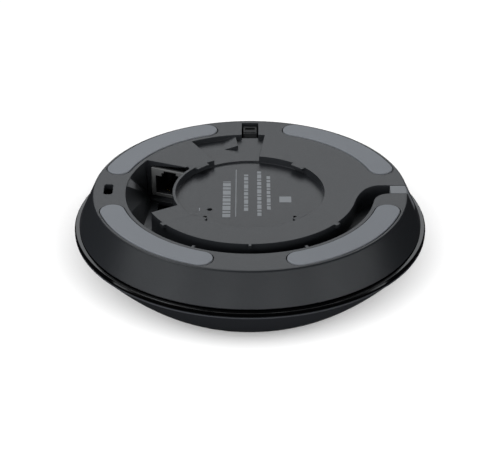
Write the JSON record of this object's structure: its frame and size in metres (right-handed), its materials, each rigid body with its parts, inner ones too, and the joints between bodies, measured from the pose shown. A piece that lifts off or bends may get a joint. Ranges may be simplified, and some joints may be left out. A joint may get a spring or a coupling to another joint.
{
  "type": "ceiling access point",
  "caption": "Round ceiling access point with a domed front, a conical wall, a cable channel to a network jack and a recess with bayonet lips for its bracket.",
  "frame": {"origin": "centre of the flat middle of the domed front, which is the base in this frame", "axes": "+Z from the domed front to the mounting face, +Y from the centre to the latch, +X from the centre to the cable exit"},
  "size_m": [0.136, 0.136, 0.0444],
  "materials": {
    "housing": "fine matt texture, mid grey",
    "cover": "fine matt texture, dark grey",
    "pad_rubber": "matt, light grey",
    "seal_rubber": "matt, black",
    "gloss_black": "polished black",
    "dark_plastic": "satin black",
    "plated_tin": "tin-plated sheet",
    "steel": "bright zinc plate",
    "contact_gold": "gold-plated",
    "board_green": "solder mask over glass laminate",
    "cast_plate": "plain mill finish",
    "thermal_gum": "soft gap filler",
    "light_guide": "clear to milky"
  },
  "bodies": {
    "housing": {"back_shell": "housing", "grip_pad_far_right": "pad_rubber", "grip_pad_far_left": "pad_rubber", "grip_pad_near_left": "pad_rubber", "grip_pad_near_right": "pad_rubber", "jack_shield": "plated_tin", "jack_insert": "dark_plastic", "jack_contact_1": "contact_gold", "jack_contact_2": "contact_gold", "jack_contact_3": "contact_gold", "jack_contact_4": "contact_gold", "jack_contact_5": "contact_gold", "jack_contact_6": "contact_gold", "jack_contact_7": "contact_gold", "jack_contact_8": "contact_gold", "reset_switch": "dark_plastic", "cover_screw_1": "steel", "cover_screw_2": "steel", "cover_screw_3": "steel", "cover_screw_4": "steel", "board_screw_1": "steel", "board_screw_2": "steel", "board_screw_3": "steel", "board_screw_4": "steel", "main_board": "board_green", "trim_ring": "gloss_black", "seal_ring": "seal_rubber", "front_cover": "cover", "centre_cap": "cover", "status_light_pipe": "light_guide", "status_led": "light_guide", "led_board": "board_green", "led_screw_1": "steel", "led_screw_2": "steel", "led_ribbon": "dark_plastic", "heat_spreader": "cast_plate", "spreader_screw_1": "steel", "spreader_screw_2": "steel", "spreader_screw_3": "steel", "radio_shield_low": "plated_tin", "radio_shield_high": "plated_tin", "processor_shield": "plated_tin", "thermal_pad_1": "thermal_gum", "thermal_pad_2": "thermal_gum", "thermal_pad_3": "thermal_gum", "antenna_1": "plated_tin", "antenna_2": "plated_tin", "antenna_3": "plated_tin", "antenna_4": "plated_tin", "power_transformer": "dark_plastic", "storage_capacitor_1": "cast_plate", "storage_capacitor_2": "cast_plate", "power_inductor": "dark_plastic"},
    "latch": {"latch": "dark_plastic", "latch_spring": "steel"},
    "exit_plug": {"cable_exit_plug": "pad_rubber"},
    "reset": {"reset_button": "dark_plastic"}
  },
  "joints": [
    {"name": "latch_press", "type": "slide", "parent": "housing", "child": "latch", "axis": [0, 0, -1], "range_m": [0, 0.0015], "stiffness_N_per_m": 800, "springref_m": -0.001, "deforming": ["latch_spring"]},
    {"name": "reset_press", "type": "slide", "parent": "housing", "child": "reset", "axis": [0, 0, -1], "range_m": [0, 0.0004], "stiffness_N_per_m": 1500, "springref_m": -0.0003},
    {"name": "exit_plug_pull", "type": "slide", "parent": "housing", "child": "exit_plug", "axis": [0, 0, 1], "range_m": [0, 0.009]}
  ]
}
